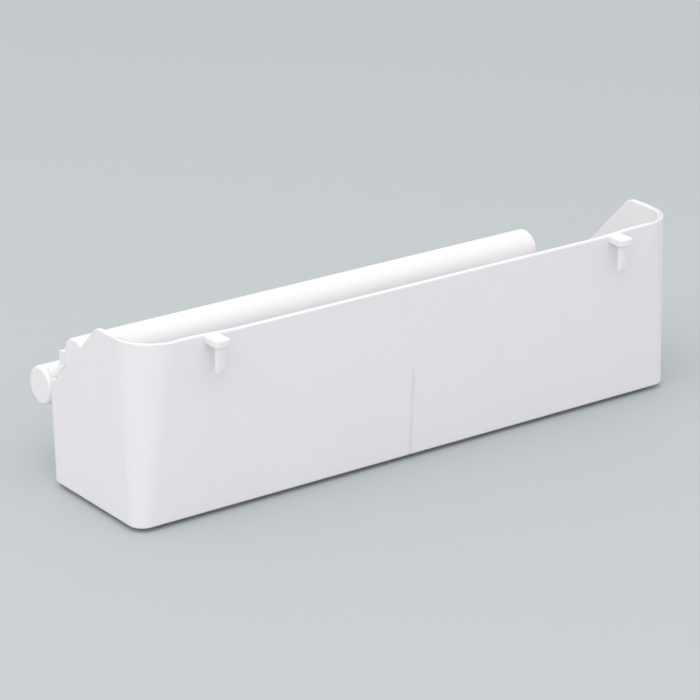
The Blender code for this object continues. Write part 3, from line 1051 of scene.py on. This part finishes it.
washer = {"hole": 0.0013, "edge": 0.00012}


def modelWasher(name):
    low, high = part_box(name)
    at = middleOf(name)
    radius = (high.x - low.x) / 2
    body = addDisc(joinedName(name), radius, (at.x, low.y, at.z), (at.x, high.y, at.z), 64)
    cut(body, addDisc("hole", washer["hole"], (at.x, low.y - past, at.z),
                      (at.x, high.y + past, at.z), 48))
    softenEdges(body, washer["edge"], 2)
    smoothPiece(body)
    return body


screwNodes = [place + "_screw" for place in fastenerPlaces]
washerNodes = [place + "_washer" for place in fastenerPlaces]
screws = repeated(modelScrew, screwNodes)
washers = repeated(modelWasher, washerNodes)
for i in range(len(fastenerPlaces)):
    settle(screws[i], "tray", zincSteel, screwNodes[i])
    settle(washers[i], "tray", zincSteel, washerNodes[i])
print("fasteners done")


def modelFoot(name):
    low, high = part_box(name)
    at = middleOf(name)
    body = addDisc(joinedName(name), foot["radius"], (at.x, at.y, low.z), (at.x, at.y, high.z), 64)
    roundEdges(body, lambda a, b: max(a.z, b.z) < low.z + nearly, foot["round"], 4)
    editFaces(body, lambda place, normal: normal.z < -0.9 and abs(place.z - low.z) < nearly)
    bpy.ops.mesh.inset(thickness=foot["rimWidth"])
    bpy.ops.mesh.inset(thickness=foot["rimStep"])
    bpy.ops.transform.translate(value=(0, 0, foot["hollow"]))
    leaveEdit()
    smoothPiece(body)
    return body


for piece, node in zip(repeated(modelFoot, footNodes), footNodes):
    settle(piece, "tray", greyRubber, node)
print("feet done")

studio = {
    "floor": (0.498, 0.532, 0.546),
    "floorSize": 8,
    "cloudShade": 0.985,
    "world": 0.91,
    "horizon": (1.0, 0.925, 0.925),
    "zenith": (0.975, 0.990, 1.0),
    "fade": 0.30,
    # each lamp's name, place, size and power, and where they all point
    "lamps": (
        ("overhead", (-0.70, -0.40, 1.40), (1.6, 1.6), 10),
        ("frontFill", (-0.60, -2.00, 0.75), (1.8, 1.2), 2),
    ),
    "aim": (0, 0, 0.03),
    "eye": (-0.6392, -0.87295, 0.4437),
    "turn": -35.94,
    "tilt": 20.91,
    "lens": 169.55,
}


def makeFloorMaterial():
    made, shader, place = newMaterial("paleTable", studio["floor"], 0.6)
    tint = [c * studio["cloudShade"] for c in studio["floor"]]
    cloud = noise(place, 2.2, 3.0)
    mixColours(cloud, (*studio["floor"], 1), (*tint, 1)).into(shader.inputs["Base Color"])
    (0.58 + noise(place, 90, 3.0) * 0.08).into(shader.inputs["Roughness"])
    bump(noise(place, 700, 3.0), 0.1, 0.0001).into(shader.inputs["Normal"])
    return made


def addFloor():
    deselectAll()
    bpy.ops.mesh.primitive_plane_add(size=studio["floorSize"], location=(0, 0, 0))
    floor = bake(named("paleFloor"))
    floor.data.materials.append(makeFloorMaterial())


def addSoftbox(name, at, size, power):
    deselectAll()
    aim = (Vector(studio["aim"]) - Vector(at)).to_track_quat("-Z", "Y").to_euler()
    bpy.ops.object.light_add(type="AREA", location=at, rotation=aim)
    lamp = bpy.context.active_object
    lamp.name = name
    lamp.data.shape = "RECTANGLE"
    lamp.data.size, lamp.data.size_y = size
    lamp.data.energy = power


def addWorld():
    # an even white room, a touch warmer near the horizon
    world = bpy.data.worlds.new("softRoom")
    world.use_nodes = True
    sky = world.node_tree.nodes["Background"]
    coords = world.node_tree.nodes.new("ShaderNodeTexCoord")
    height = Wire(coords.outputs["Generated"]).axes()[2]
    low = height.below(studio["fade"], studio["fade"])
    mixColours(low, (*studio["zenith"], 1), (*studio["horizon"], 1)).into(sky.inputs["Color"])
    sky.inputs["Strength"].default_value = studio["world"]
    bpy.context.scene.world = world


def addCamera():
    deselectAll()
    bpy.ops.object.camera_add(
        location=studio["eye"],
        rotation=(math.radians(90 - studio["tilt"]), 0, math.radians(studio["turn"])),
    )
    camera = bpy.context.active_object
    camera.name = "viewCamera"
    camera.data.lens = studio["lens"]
    camera.data.sensor_width = 36
    camera.data.clip_start = 0.05
    bpy.context.scene.camera = camera


addFloor()
addWorld()
for lamp in studio["lamps"]:
    addSoftbox(*lamp)
addCamera()
bpy.context.scene.view_settings.view_transform = "Standard"
print("studio done")
